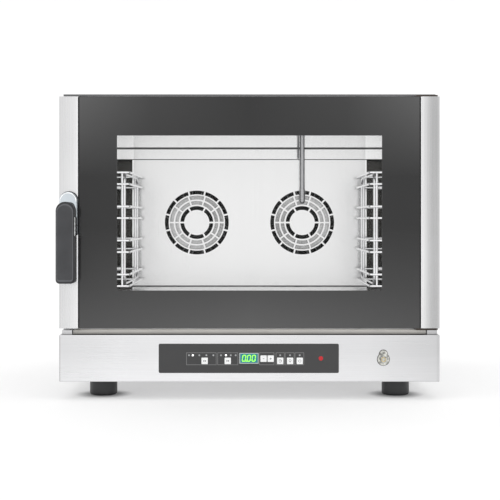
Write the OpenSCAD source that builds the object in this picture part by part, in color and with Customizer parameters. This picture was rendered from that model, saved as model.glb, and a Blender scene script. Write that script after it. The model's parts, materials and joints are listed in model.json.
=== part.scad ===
// Countertop combi steamer oven with a side-hung glass door and four tray levels.
// The origin is on the floor under the middle of the oven's overall box.
// The front faces -Y, +X is to the right of someone facing the door, and +Z is up.

/* [Overall size] */
// Width across the door and the lower panel
body_w = 784; // [780:1:790]
// Depth from the front of the grip to the ends of the rear fittings
overall_d = 754; // [745:1:765]
// Height from the floor to the top of the casing
body_h = 634; // [632:1:640]
// Height of the feet, which is also the height of the casing's underside
foot_h = 38; // [30:1:45]
// Radius of a foot
foot_r = 29; // [24:0.5:32]
// Distance of the feet from the middle of the oven
foot_x = 311; // [290:1:330]
// Depth of the front feet behind the door's front face
foot_setback = 85; // [70:1:100]
// Free length of the water, drain, vent and cable fittings behind the rear panel
fitting_reach = 20; // [15:1:25]

/* [Door] */
// How far the grip stands out from the door
handle_reach = 50; // [46:1:60]
// Thickness of the door
door_t = 34; // [32:1:36]
// Gap between the closed door and the casing, filled by the gasket
door_gap = 6; // [5:0.5:7]
// Height of the door's lower edge above the floor
door_z0 = 147.6; // [146:0.1:150]
// Height of the door's upper edge above the floor
door_z1 = 625.6; // [624:0.1:627]
// Width of the steel stiles at the two sides of the door
stile_w = 39; // [36:1:42]
// Thickness of the outer glass
outer_glass_t = 6; // [4:0.5:6]
// Thickness of the inner glass
inner_glass_t = 4; // [3:0.5:5]
// Width of the grip
grip_w = 38; // [34:1:38]
// Height of the spindle's axis above the floor
spindle_z = 410; // [400:1:420]
// Length of the grip
grip_l = 166; // [150:1:180]
// Radius of the handle's hub
hub_r = 20; // [19:0.5:20]

/* [Cavity] */
// Width inside the cavity
cavity_w = 660; // [640:1:664]
// Height of the cavity's floor
cavity_z0 = 210; // [208:1:212]
// Height of the cavity's ceiling
cavity_z1 = 578; // [574:1:580]
// Depth inside the cavity
cavity_d = 447; // [440:1:450]
// Thickness of the insulation
wool_t = 24; // [18:1:25]

/* [Fans] */
// Distance of each fan's axis from the middle of the oven
fan_x = 127.5; // [125:0.5:135]
// Height of the fans' axes
fan_z = 364.5; // [360:0.5:370]
// Radius of a fan wheel
fan_r = 88; // [80:1:90]
// Number of blades on a fan wheel
fan_blades = 20; // [12:1:24]
// Half the width of the fan baffle
baffle_x = 283.5; // [275:0.5:290]
// Height of the baffle's upper edge
baffle_z1 = 516; // [510:1:518]

/* [Racks] */
// Number of tray levels
levels = 4; // [3:1:4]
// Distance between tray levels
pitch = 73; // [70:1:75]
// Height of the lowest tray wire
wire_z0 = 229; // [228:1:232]
// Distance between the two wires of one level
wire_pair = 25; // [20:1:30]
// Radius of the rack wires
wire_r = 2.5; // [2:0.1:2.5]
// Distance of the tray wires from the middle of the oven
wire_x = 258; // [257:0.5:262]

/* [Control panel] */
// Height of the lower panel's upper edge
panel_z1 = 134; // [132:1:135]
// Width of a key
key_w = 13; // [11:0.5:13]
// Height of a key
key_h = 13.4; // [11:0.1:13.5]
// Clearance round a key
key_gap = 0.3; // [0.2:0.1:0.4]
// Travel of a key
key_travel = 1; // [0.5:0.1:1.2]

/* [Hidden] */
$fn = 64;

half_w = body_w / 2;
y_grip = -overall_d / 2;               // front of the grip
y_door = y_grip + handle_reach;        // front face of the door and the lower panel
y_door_back = y_door + door_t;
y_body = y_door_back + door_gap;       // front face of the casing
y_end = overall_d / 2;                 // ends of the rear fittings
y_rear = y_end - fitting_reach;        // outside of the rear panel
sheet = 1.5;                           // thickness of every sheet-metal part
side_x = half_w - 2.6;                 // outside of the side panels
in_x = side_x - sheet - 0.2;           // outside of the parts between the side panels
cover_z = body_h - sheet;              // underside of the top cover
frame_z0 = panel_z1 + 0.2;
frame_z1 = cover_z - 0.2;
cav_x = cavity_w / 2;
y_back = y_body + cavity_d;            // front of the cavity's back wall
wool_out = wool_t + sheet + 0.1;       // from the cavity's inner face to the wool's outer face
y_baffle = y_back - 67;                // front face of the fan baffle
stile_x = half_w - stile_w;            // inner edge of a stile
glass_x = stile_x - 2.5;
hinge_x = half_w - 8;
hinge_y = y_door_back - 7;
hinge_r = 5;
spindle_x = -(half_w - hub_r - 0.5);
grip_x = -(half_w - grip_w / 2);
spindle_r = 8;
hub_t = 17;                            // thickness of the hub's plate
neck_reach = 29;                       // how far the hub's neck stands into the grip
neck_z = [spindle_z - 72, spindle_z - 32];
run_gap = 0.05;                        // radial running clearance
shaft_r = 8;
rack_y0 = y_door + 98;                 // front laterals of the racks
rack_y1 = y_door + 390;                // rear laterals of the racks
post_x = 273.5;                        // straight posts of the racks
loop_x = 268;                           // closed loops of the racks
key_z = 80.8;
key_high_z = 85.4;
led_z = 92.4;
tube_x = 127;
tube_y = y_baffle - 13;
tube_r = 7;
drain_y = -150;
drain_z = 110;
flange_t = 2;                          // flanges of the rear fittings
screw_r = 2;
screw_hole_r = 2.4;
screw_inset = 9;                       // rear screws from the rear panel's side edges
rear_screws = [60, 240, 420, 600];     // heights of the rear screws
side_screws = [-240, 30, 300];         // places of the side screws along Y
side_screw_z = foot_h + 14;
valve_x = -280;
valve_z = 145;
vent_x = 250;
vent_z = 552;
cool_x = 270;                          // cooling fan
cool_z = 110;
gland_x = 150;
gland_z = 78;
jack_x = 275.8;
jack_z = 83.8;
lamp_y = -200;
lamp_z = 540;

function wire_heights() =
  [for (i = [0 : levels - 1]) for (k = [0, 1]) wire_z0 + i * pitch + k * wire_pair];

// A box from its lowest to its highest corner
module span(lo, hi) { translate(lo) cube(hi - lo); }

// Cylinders along each axis, from a to b
module rod_x(a, b, y, z, r) { translate([a, y, z]) rotate([0, 90, 0]) cylinder(h = b - a, r = r); }
module rod_y(x, a, b, z, r) { translate([x, b, z]) rotate([90, 0, 0]) cylinder(h = b - a, r = r); }
module rod_z(x, y, a, b, r) { translate([x, y, a]) cylinder(h = b - a, r = r); }

// A rectangle with round corners between two corners
module round_rect(lo, hi, r) {
  translate([lo.x + r, lo.y]) square([hi.x - lo.x - 2 * r, hi.y - lo.y]);
  translate([lo.x, lo.y + r]) square([hi.x - lo.x, hi.y - lo.y - 2 * r]);
  for (x = [lo.x + r, hi.x - r], y = [lo.y + r, hi.y - r]) translate([x, y]) circle(r);
}

// An outline drawn in X and Z, made solid from y = a to y = b
module plate_y(a, b) { translate([0, b, 0]) rotate([90, 0, 0]) linear_extrude(b - a) children(); }

// A quarter bend of wire: centre c, bend radius br, wire radius r, from angle a in the XY plane
module bend_xy(c, br, r, a) {
  translate(c) rotate([0, 0, a]) rotate_extrude(angle = 90) translate([br, 0]) circle(r);
}

// The same in the YZ plane
module bend_yz(c, br, r, a) {
  translate(c) rotate([90, 0, 90]) rotate([0, 0, a]) rotate_extrude(angle = 90) translate([br, 0]) circle(r);
}

// Flange and free stub of a fitting behind the rear panel
module fitting(x, z, r) {
  rod_y(x, y_rear + 0.1, y_rear + flange_t, z, r + 4);
  rod_y(x, y_rear + flange_t - 0.1, y_end, z, r);
}

// ---- Casing ----

module rear_screw_holes(s) {
  for (z = rear_screws) rod_y(s * (in_x - screw_inset), y_rear - 6, y_rear + 3, z, screw_hole_r);
}

module side_screw_holes(s) {
  for (y = side_screws)
    rod_x(min(s * (side_x - 6), s * (side_x + 3)), max(s * (side_x - 6), s * (side_x + 3)), y, side_screw_z, screw_hole_r);
}

module base_pan() {
  pan_y1 = y_rear - 2 * sheet - 0.4;
  color("silver") difference() {
    union() {
      span([-in_x, y_body + 0.2, foot_h], [in_x, pan_y1, foot_h + sheet]);
      for (s = [-1, 1])
        span([min(s * in_x, s * (in_x - sheet)), y_body + 0.2, foot_h],
             [max(s * in_x, s * (in_x - sheet)), pan_y1, foot_h + 25]);
    }
    for (p = foot_places()) rod_z(p.x, p.y, foot_h - 1, foot_h + 4, 5.2);
    for (s = [-1, 1]) side_screw_holes(s);
  }
}

// A side panel with the flange at its rear edge that the rear panel is screwed to
module side_panel(s) {
  flange_w = 20;
  flange_y = [y_rear - 2 * sheet - 0.2, y_rear - sheet - 0.2];
  color("silver") difference() {
    union() {
      span([min(s * side_x, s * (side_x - sheet)), y_body, foot_h],
           [max(s * side_x, s * (side_x - sheet)), y_rear, cover_z]);
      span([min(s * (side_x - 0.1), s * (side_x - flange_w)), flange_y[0], foot_h],
           [max(s * (side_x - 0.1), s * (side_x - flange_w)), flange_y[1], frame_z1]);
    }
    rear_screw_holes(s);
    side_screw_holes(s);
  }
}
module side_panel_left() { side_panel(-1); }
module side_panel_right() { side_panel(1); }

module top_cover() {
  color("silver") union() {
    span([-side_x, y_body - sheet, cover_z], [side_x, y_rear, body_h]);
    span([-side_x, y_body - sheet, body_h - 4], [side_x, y_body, body_h]);
  }
}

module rear_panel() {
  color("silver") difference() {
    span([-in_x, y_rear - sheet, foot_h], [in_x, y_rear, frame_z1]);
    rod_y(valve_x, y_rear - 5, y_rear + 5, valve_z, 14);
    rod_y(0, y_rear - 5, y_rear + 5, drain_z, 15.5);
    rod_y(vent_x, y_rear - 5, y_rear + 5, vent_z, 16.5);
    for (s = [-1, 1]) rear_screw_holes(s);
    rod_y(gland_x, y_rear - 5, y_rear + 5, gland_z, 10.3);
    for (i = [-4 : 4])
      span([cool_x - 45, y_rear - 5, cool_z + i * 11 - 2.5], [cool_x + 45, y_rear + 5, cool_z + i * 11 + 2.5]);
    for (i = [0 : 11], s = [-1, 1])
      span([s * 250 - 60 + i * 10, y_rear - 5, 420], [s * 250 - 56 + i * 10, y_rear + 5, 480]);
  }
}

module front_frame() {
  color("gainsboro") difference() {
    span([-in_x, y_body, frame_z0], [in_x, y_body + sheet, frame_z1]);
    span([-cav_x, y_body - 1, cavity_z0], [cav_x, y_body + 5, cavity_z1]);
    rod_y(spindle_x, y_body - 1, y_body + 5, spindle_z, 13.5);
  }
}

module hinge_bracket(z_plate, z_pin, z_flange) {
  span([345, y_door_back - 25, z_plate], [side_x, y_body, z_plate + 3.5]);
  span([345, y_body - sheet, min(z_flange, z_plate)], [in_x - 4, y_body, max(z_flange, z_plate + 3.5)]);
  rod_z(hinge_x, hinge_y, min(z_plate + 3.5, z_pin), max(z_plate, z_pin), hinge_r);
}

module hinge_brackets() {
  color("dimgray") {
    hinge_bracket(door_z0 - 4, door_z0 + 15, frame_z0 + 1);
    hinge_bracket(door_z1 + 0.5, door_z1 - 15, door_z1 - 8);
  }
}

module latch_keeper() {
  color("lightgray") difference() {
    span([-in_x, y_body + sheet, spindle_z - 28], [-in_x + 31, y_body + sheet + 3, spindle_z + 28]);
    rod_y(spindle_x, y_body, y_body + 8, spindle_z, 13);
  }
}

module casing_screw() {
  cylinder(h = 2, r = 5);
  translate([0, 0, -8]) cylinder(h = 9, r = screw_r);
}

module casing_screws() {
  color("gray") {
    for (s = [-1, 1], z = rear_screws)
      translate([s * (in_x - screw_inset), y_rear, z]) rotate([-90, 0, 0]) casing_screw();
    for (s = [-1, 1], y = side_screws)
      translate([s * side_x, y, side_screw_z]) rotate([0, s * 90, 0]) casing_screw();
  }
}

function foot_places() = [for (x = [-foot_x, foot_x], y = [y_door + foot_setback, y_rear - 57]) [x, y]];

module feet() {
  bottom_r = 5;
  color("black") for (p = foot_places()) translate([p.x, p.y, 0]) {
    rotate_extrude() polygon(concat(
      [[0, 0]],
      [for (a = [-90 : 18 : 0]) [foot_r - bottom_r + bottom_r * cos(a), bottom_r + bottom_r * sin(a)]],
      [[foot_r, foot_h], [0, foot_h]]));
    translate([0, 0, foot_h - 1]) cylinder(h = 16, r = 5);
  }
}

// ---- Cavity ----

module cavity_liner() {
  color("lightgray") difference() {
    union() {
      difference() {
        span([-cav_x - sheet, y_body + sheet, cavity_z0 - sheet], [cav_x + sheet, y_back + sheet, cavity_z1 + sheet]);
        span([-cav_x, y_body, cavity_z0], [cav_x, y_back, cavity_z1]);
      }
      for (s = [-1, 1], z = [cavity_z0 + 16, baffle_z1 - 16])
        rod_y(s * (baffle_x - 12), y_baffle + sheet, y_back + 0.5, z, 4);
    }
    for (s = [-1, 1]) {
      rod_y(s * fan_x, y_back - 1, y_back + 5, fan_z, 11);
      for (k = [-1, 1]) rod_y(s * fan_x + k * 12, y_back - 1, y_back + 5, fan_z - element_r, 5.5);
    }
    rod_y(vent_x, y_back - 1, y_back + 5, vent_z, 16.5);
    rod_z(0, drain_y, cavity_z0 - 5, cavity_z0 + 5, 16.5);
    rod_z(tube_x, tube_y, cavity_z1 - 1, cavity_z1 + 5, tube_r - 0.8);
    rod_z(tube_x - 9.5, tube_y, cavity_z1 - 1, cavity_z1 + 5, 2);
    rod_x(-cav_x - 5, -cav_x + 1, lamp_y, lamp_z, 18.5);
  }
}

module insulation() {
  color("khaki") difference() {
    span([-cav_x - wool_out, y_body + sheet + 0.1, cavity_z0 - wool_out],
         [cav_x + wool_out, y_back + wool_out, cavity_z1 + wool_out]);
    span([-cav_x - sheet - 0.1, y_body, cavity_z0 - sheet - 0.1],
         [cav_x + sheet + 0.1, y_back + sheet + 0.1, cavity_z1 + sheet + 0.1]);
    for (s = [-1, 1]) {
      rod_y(s * fan_x, y_back, y_back + 40, fan_z, 12);
      span([s * fan_x - 20, y_back, fan_z - element_r - 8], [s * fan_x + 20, y_back + 40, fan_z - element_r + 8]);
    }
    rod_y(vent_x, y_back, y_back + 40, vent_z, 18);
    rod_z(0, drain_y, cavity_z0 - 40, cavity_z0, 18);
    rod_z(tube_x, tube_y, cavity_z1, cavity_z1 + 40, tube_r + 1.5);
    rod_z(tube_x - 9.5, tube_y, cavity_z1, cavity_z1 + 40, 4);
    rod_x(-cav_x - 40, -cav_x, lamp_y, lamp_z, 20);
  }
}

module door_gasket() {
  seal_w = 10;
  color("dimgray") plate_y(y_door_back + 0.3, y_body) difference() {
    round_rect([-cav_x - 19, cavity_z0 - 19], [cav_x + 19, cavity_z1 + 19], 20);
    round_rect([-cav_x - 19 + seal_w, cavity_z0 - 19 + seal_w], [cav_x + 19 - seal_w, cavity_z1 + 19 - seal_w], 10);
  }
}

// One ring of arched air slots in the baffle: radii and number of slots
module slot_ring(r_in, r_out, n) {
  bridge = 4;
  difference() {
    circle(r_out);
    circle(r_in);
    for (i = [0 : n - 1]) rotate(90 + (i + 0.5) * 360 / n) translate([0, -bridge / 2]) square([r_out + 1, bridge]);
  }
}

module fan_baffle() {
  fold = 14;
  color("whitesmoke") union() {
    plate_y(y_baffle, y_baffle + sheet) difference() {
      translate([-baffle_x, cavity_z0 + 2]) square([2 * baffle_x, baffle_z1 - cavity_z0 - 2]);
      for (s = [-1, 1]) translate([s * fan_x, fan_z]) {
        slot_ring(68.2, 77.2, 12);
        slot_ring(55.9, 65.1, 10);
        slot_ring(43.6, 52, 10);
        slot_ring(30.5, 39.7, 6);
      }
    }
    for (s = [-1, 1])
      span([min(s * baffle_x, s * (baffle_x - sheet)), y_baffle, cavity_z0 + 2],
           [max(s * baffle_x, s * (baffle_x - sheet)), y_baffle + fold, baffle_z1]);
  }
}

module air_strip() {
  step = 4;
  color("whitesmoke") translate([-cav_x + 0.2, 0, 0]) rotate([90, 0, 90]) linear_extrude(2 * cav_x - 0.4) polygon([
    [y_baffle - 2, baffle_z1 + 1.5], [y_baffle - 2, baffle_z1 + 25.5], [y_baffle + step, baffle_z1 + 26.5],
    [y_baffle + step, baffle_z1 + 29], [y_baffle - 4, baffle_z1 + 30], [y_baffle - 4, cavity_z1 - 0.2],
    [y_baffle - 4 + sheet, cavity_z1 - 0.2], [y_baffle - 4 + sheet, baffle_z1 + 30 + sheet],
    [y_baffle + step + sheet, baffle_z1 + 29 + sheet], [y_baffle + step + sheet, baffle_z1 + 26.5 - sheet],
    [y_baffle - 2 + sheet, baffle_z1 + 25.5 - sheet], [y_baffle - 2 + sheet, baffle_z1 + 3],
    [y_baffle + 16, baffle_z1 + 3], [y_baffle + 16, baffle_z1 + 1.5]]);
}

element_r = 104;
module heating_element(s) {
  tube = 4;
  y_front = y_baffle + 30;
  y_ring = y_baffle + 46;
  color("dimgray") translate([s * fan_x, 0, fan_z]) {
    for (y = [y_front, y_ring])
      translate([0, y, 0]) rotate([90, 0, 0]) rotate_extrude() translate([element_r, 0]) circle(tube);
    rod_y(0, y_front - 1, y_ring + 1, element_r + 0.6, tube - 0.5);
    for (k = [-1, 1]) rod_y(k * 12, y_ring - 1, y_back + 30, -sqrt(element_r * element_r - 144), tube - 0.2);
    difference() {
      span([-26, y_back - 2.1, -element_r - 12], [26, y_back - 0.1, -element_r + 12]);
      for (k = [-1, 1]) rod_y(k * 12, y_back - 5, y_back + 5, -sqrt(element_r * element_r - 144), tube - 0.6);
    }
  }
}
module heating_element_left() { heating_element(-1); }
module heating_element_right() { heating_element(1); }

module motor(s) {
  y0 = y_back + wool_out + 0.5;
  color("slategray") translate([s * fan_x, 0, fan_z]) difference() {
    union() {
      span([-55, y0, -55], [55, y0 + 3, 55]);
      rod_y(0, y0 + 3, y0 + 96, 0, 45);
      rod_y(0, y0 + 96, y0 + 104, 0, 20);
      for (a = [0 : 30 : 330]) rotate([0, a, 0]) span([44, y0 + 14, -1.5], [48, y0 + 84, 1.5]);
    }
    rod_y(0, y0 - 1, y0 + 80, 0, shaft_r + run_gap);
  }
}
module motor_left() { motor(-1); }
module motor_right() { motor(1); }

module fan_wheel(s) {
  y0 = y_baffle + 13;
  depth = 41;
  color("silver") translate([s * fan_x, 0, fan_z]) difference() {
    union() {
      plate_y(y0 + depth - 2, y0 + depth) circle(fan_r);
      plate_y(y0, y0 + 2) difference() {
        circle(67);
        circle(42);
      }
      plate_y(y0 + 1, y0 + depth - 1)
        for (i = [0 : fan_blades - 1]) rotate(i * 360 / fan_blades)
          translate([46, 0]) rotate(s * 25) square([fan_r - 50, 2]);
      rod_y(0, y0 + 8, y0 + depth, 0, 16);
      rod_y(0, y0 + 4, y0 + 9, 0, 11);
    }
    rod_y(0, y0 + 6, y0 + depth + 1, 0, shaft_r + 0.02);
  }
}
module fan_wheel_left() { fan_wheel(-1); }
module fan_wheel_right() { fan_wheel(1); }

module fan_shaft(s) {
  color("gray") rod_y(s * fan_x, y_baffle + 19.5, y_back + wool_out + 70, fan_z, shaft_r);
}
module fan_shaft_left() { fan_shaft(-1); }
module fan_shaft_right() { fan_shaft(1); }

// One U-shaped tray wire on the side s at height z
module tray_wire(s, z) {
  br = 4;
  end_x = 318;
  lat = [min(s * (wire_x + br), s * end_x), max(s * (wire_x + br), s * end_x)];
  rod_y(s * wire_x, rack_y0 + br, rack_y1 - br, z, wire_r);
  for (y = [rack_y0, rack_y1]) rod_x(lat[0], lat[1], y, z, wire_r);
  bend_xy([s * (wire_x + br), rack_y0 + br, z], br, wire_r, s > 0 ? 180 : 270);
  bend_xy([s * (wire_x + br), rack_y1 - br, z], br, wire_r, s > 0 ? 90 : 0);
}

module rack(s) {
  heights = wire_heights();
  z_low = heights[0];
  z_top = heights[len(heights) - 1];
  br = 25;
  weld = 1;  // depth to which crossing wires are sunk into each other
  in_y = [rack_y0 + 2 * wire_r - weld, rack_y1 - 2 * wire_r + weld];
  loop_z = [z_low + 2 * wire_r - weld, z_top - 2 * wire_r + weld];
  color("lightgray") union() {
    for (z = heights) tray_wire(s, z);
    for (y = in_y) {
      rod_z(s * post_x, y, z_low - wire_r, z_top + wire_r, wire_r);
      rod_z(s * loop_x, y, loop_z[0] + br, loop_z[1] - br, wire_r);
    }
    for (z = loop_z) rod_y(s * loop_x, in_y[0] + br, in_y[1] - br, z, wire_r);
    bend_yz([s * loop_x, in_y[0] + br, loop_z[0] + br], br, wire_r, 180);
    bend_yz([s * loop_x, in_y[1] - br, loop_z[0] + br], br, wire_r, 270);
    bend_yz([s * loop_x, in_y[1] - br, loop_z[1] - br], br, wire_r, 0);
    bend_yz([s * loop_x, in_y[0] + br, loop_z[1] - br], br, wire_r, 90);
  }
}
module rack_left() { rack(-1); }
module rack_right() { rack(1); }

module rack_studs() {
  color("silver") for (s = [-1, 1], y = [rack_y0, rack_y1], z = [wire_z0 + wire_pair, wire_z0 + 3 * pitch])
    difference() {
      rod_x(min(s * 308, s * cav_x), max(s * 308, s * cav_x), y, z, 6);
      rod_x(min(s * 307, s * 318.2), max(s * 307, s * 318.2), y, z, wire_r + 0.1);
    }
}

module steam_tube() {
  y_far = y_rear - 22;
  z_top = cavity_z1 + wool_out + 12;
  color("silver") union() {
    rod_z(tube_x, tube_y, spindle_z + 34, z_top, tube_r - 1);
    rod_z(tube_x, tube_y, spindle_z + 7, spindle_z + 34, tube_r);
    translate([tube_x, tube_y, spindle_z + 7]) sphere(tube_r);
    translate([tube_x, tube_y, z_top]) sphere(tube_r - 1);
    rod_y(tube_x, tube_y, y_far, z_top, tube_r - 1);
    translate([tube_x, y_far, z_top]) sphere(tube_r - 1);
    rod_z(tube_x, y_far, valve_z, z_top, tube_r - 1);
    translate([tube_x, y_far, valve_z]) sphere(tube_r - 1);
    rod_x(valve_x + 24, tube_x, y_far, valve_z, tube_r - 1);
  }
}

module cavity_sensor() {
  color("dimgray") union() {
    rod_z(tube_x - 9.5, tube_y, baffle_z1 + 4, cavity_z1 + 20, 1.75);
    translate([tube_x - 9.5, tube_y, baffle_z1 + 4]) sphere(1.75);
  }
}

module cavity_lamp() {
  color("white") union() {
    rod_x(-cav_x - sheet, -cav_x + 2, lamp_y, lamp_z, 18);
    rod_x(-cav_x + 0.1, -cav_x + 5, lamp_y, lamp_z, 24);
    rod_x(-cav_x - wool_out - 4, -cav_x - sheet, lamp_y, lamp_z, 16);
  }
}

// ---- Services under and behind the cavity ----

module drain_pipe() {
  color("slategray") difference() {
    union() {
      rod_z(0, drain_y, drain_z, cavity_z0 - 0.2, 16);
      translate([0, drain_y, drain_z]) sphere(16);
      rod_y(0, drain_y, y_rear + 1, drain_z, 14.6);
      fitting(0, drain_z, 15);
    }
    rod_z(0, drain_y, drain_z, cavity_z0 + 1, 13);
    translate([0, drain_y, drain_z]) sphere(13);
    rod_y(0, drain_y, y_end + 1, drain_z, 13);
  }
}

module vent_pipe() {
  color("silver") difference() {
    union() {
      rod_y(vent_x, y_back - 1, y_rear + 1, vent_z, 15.6);
      fitting(vent_x, vent_z, 16);
    }
    rod_y(vent_x, y_back - 2, y_end + 1, vent_z, 14);
  }
}

module water_valve() {
  color("royalblue") union() {
    rod_y(valve_x, y_rear - 28, y_rear + 1, valve_z, 12.8);
    fitting(valve_x, valve_z, 13.2);
    rod_y(valve_x, y_rear - 6, y_rear - sheet - 0.1, valve_z, 18);
    span([valve_x - 24, y_rear - 62, valve_z - 16], [valve_x + 24, y_rear - 6, valve_z + 16]);
    rod_z(valve_x, y_rear - 40, valve_z + 15, valve_z + 50, 15);
  }
}

module cable_gland() {
  color("black") difference() {
    union() {
      rod_y(gland_x, y_rear - 14, y_end - 6, gland_z, 10);
      translate([gland_x, y_rear + 8, gland_z]) rotate([90, 0, 0]) cylinder(h = 8, r = 14, $fn = 6);
      translate([gland_x, y_rear - sheet - 0.1, gland_z]) rotate([90, 0, 0]) cylinder(h = 5, r = 14, $fn = 6);
      rod_y(gland_x, y_rear + 8, y_end, gland_z, 11.5);
    }
    rod_y(gland_x, y_rear - 15, y_end + 1, gland_z, 5.5);
  }
}

module cooling_fan_frame() {
  y0 = y_rear - sheet - 39;
  color("black") union() {
    difference() {
      span([cool_x - 60, y0, cool_z - 60], [cool_x + 60, y0 + 38, cool_z + 60]);
      rod_y(cool_x, y0 - 1, y0 + 39, cool_z, 57);
    }
    for (a = [0, 90]) translate([cool_x, 0, cool_z]) rotate([0, a + 45, 0]) span([-58, y0 + 34, -3], [58, y0 + 38, 3]);
    rod_y(cool_x, y0 + 30, y0 + 38, cool_z, 20);
    rod_y(cool_x, y0 + 10, y0 + 31, cool_z, 3);
  }
}

module cooling_fan_rotor() {
  y0 = y_rear - sheet - 39;
  color("dimgray") translate([cool_x, 0, cool_z]) difference() {
    union() {
      rod_y(0, y0 + 5, y0 + 29, 0, 20);
      for (i = [0 : 6]) rotate([0, i * 360 / 7, 0])
        translate([18, y0 + 17, 0]) rotate([35, 0, 0]) translate([0, -11, -1]) cube([36, 22, 2]);
    }
    rod_y(0, y0 + 8, y0 + 40, 0, 3 + run_gap);
  }
}

module control_board() {
  y0 = y_door + 12;
  color("darkgreen") union() {
    span([-180, y0, 52], [180, y0 + 2, 118]);
    for (k = key_list()) span([k[1] - 3, y0 - 4, k[2] - 3], [k[1] + 3, y0 + 0.1, k[2] + 3]);
    span([-150, y0 + 1.9, 60], [-90, y0 + 14, 100]);
    span([20, y0 + 1.9, 64], [70, y0 + 20, 104]);
  }
}

module power_unit() {
  color("gray") union() {
    span([70, 60, foot_h + sheet + 6], [230, 200, foot_h + sheet + 9]);
    for (i = [0 : 2]) span([80 + i * 48, 75, foot_h + sheet + 8.9], [120 + i * 48, 130, foot_h + sheet + 62]);
    span([85, 150, foot_h + sheet + 8.9], [215, 180, foot_h + sheet + 36]);
    for (x = [78, 222], y = [68, 192]) rod_z(x, y, foot_h + sheet + 0.1, foot_h + sheet + 6.1, 4);
  }
}

// ---- Lower panel ----

// Each key: name, place across the oven and height
function key_list() = [
  ["key_mode", -92.4, key_z], ["key_program", -44.8, key_z],
  ["key_minus", 29, key_high_z], ["key_plus", 43.6, key_high_z],
  ["key_time", 63.3, key_z], ["key_light", 83.6, key_z], ["key_start", 103.5, key_z]];
led_places = [-124.6, -116.8, -103.4, -88.8, -74.4, -58.7, -48.6, -38.5, -28.4, 63.2, 83.4, 103.4];
led_r = 1.4;
overlay_t = 0.8;

module panel_holes(y0, y1) {
  for (k = key_list())
    span([k[1] - key_w / 2 - key_gap, y0, k[2] - key_h / 2 - key_gap],
         [k[1] + key_w / 2 + key_gap, y1, k[2] + key_h / 2 + key_gap]);
  for (x = led_places) rod_y(x, y0, y1, led_z, led_r + 0.1);
  span([-20.8, y0, 75.1], [18.7, y1, 97.2]);
}

module control_panel() {
  ear_z = door_z0 - 4.7;
  color("silver") difference() {
    union() {
      plate_y(y_door, y_door + sheet) round_rect([-half_w, foot_h], [half_w, panel_z1], 2);
      for (z = [foot_h, panel_z1 - sheet])
        span([-half_w + 1, y_door + 1, z], [half_w - 1, y_body - 0.3, z + sheet]);
      for (s = [-1, 1])
        span([min(s * (half_w - 0.1), s * (half_w - sheet)), y_door + 1, foot_h + 1],
             [max(s * (half_w - 0.1), s * (half_w - sheet)), y_body - 0.3, panel_z1 - 1]);
      for (s = [-1, 1])
        span([min(s * 367, s * 388), y_door + 10, panel_z1 - 0.5], [max(s * 367, s * 388), y_body - 4, ear_z]);
    }
    panel_holes(y_door - 1, y_door + 5);
    rod_y(jack_x, y_door - 1, y_door + 5, jack_z, 6.5);
  }
}

module control_overlay() {
  color("black") difference() {
    plate_y(y_door - overlay_t, y_door) round_rect([-187, 55.8], [184, 116.1], 3);
    panel_holes(y_door - 5, y_door + 1);
  }
}

module display_window() {
  color("teal") span([-20.6, y_door - overlay_t, 75.3], [18.5, y_door + 6, 97]);
}

module indicator_leds() {
  color("white") for (x = led_places) rod_y(x, y_door - overlay_t - 0.1, y_door + 6, led_z, led_r);
}

module key(i) {
  k = key_list()[i];
  color("whitesmoke") span([k[1] - key_w / 2, y_door - overlay_t - 0.4, k[2] - key_h / 2],
                           [k[1] + key_w / 2, y_door + 5, k[2] + key_h / 2]);
}
module key_mode() { key(0); }
module key_program() { key(1); }
module key_minus() { key(2); }
module key_plus() { key(3); }
module key_time() { key(4); }
module key_light() { key(5); }
module key_start() { key(6); }

module probe_plate() {
  lobe_z = 94.5;
  color("silver") union() {
    plate_y(y_door - 2, y_door) difference() {
      union() {
        translate([jack_x, jack_z]) circle(12.3);
        translate([jack_x - 8.5, jack_z]) square([17, lobe_z - jack_z]);
        translate([jack_x, lobe_z]) circle(8.5);
      }
      translate([jack_x, jack_z]) circle(6.5);
    }
    rod_y(jack_x, y_door - 3.4, y_door - 1.9, lobe_z + 1, 3.5);
  }
}

module probe_jack() {
  color("goldenrod") difference() {
    union() {
      rod_y(jack_x, y_door - 5, y_door + 24, jack_z, 6);
      rod_y(jack_x, y_door - 5, y_door - 2, jack_z, 7.5);
      translate([jack_x, y_door + 6, jack_z]) rotate([90, 0, 0]) cylinder(h = 4, r = 10, $fn = 6);
    }
    rod_y(jack_x, y_door - 6, y_door + 15, jack_z, 3.2);
  }
}

module drip_tray() {
  x1 = 365;
  lo = [-x1, y_door + 10, panel_z1 + 1];
  hi = [x1, y_body - 3, door_z0 - 4.8];
  color("wheat") difference() {
    span(lo, hi);
    span(lo + [1.2, 1.2, 1.2], hi + [-1.2, -1.2, 5]);
  }
}

// ---- Door ----

module door_stile(s) {
  x_in = s > 0 ? stile_x : -half_w;
  x_out = s > 0 ? half_w : -stile_x;
  color("silver") difference() {
    union() {
      difference() {
        span([x_in, y_door, door_z0], [x_out, y_door_back, door_z1]);
        span([s > 0 ? x_in - 1 : x_in + sheet, y_door + sheet, door_z0 + sheet],
             [s > 0 ? x_out - sheet : x_out + 1, y_door_back - sheet, door_z1 - sheet]);
      }
      if (s < 0) rod_y(spindle_x, y_door + 0.5, y_door_back - 0.5, spindle_z, 12);
      if (s > 0) for (z = [door_z0, door_z1 - 20])
        span([hinge_x - 10, hinge_y - 10, z], [half_w, y_door_back, z + 20]);
    }
    if (s < 0) rod_y(spindle_x, y_door - 1, y_door_back + 1, spindle_z, spindle_r + run_gap);
    if (s > 0) for (z = [door_z0 - 1, door_z1 - 16])
      rod_z(hinge_x, hinge_y, z, z + 17, hinge_r + run_gap);
  }
}
module door_stile_left() { door_stile(-1); }
module door_stile_right() { door_stile(1); }

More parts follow.
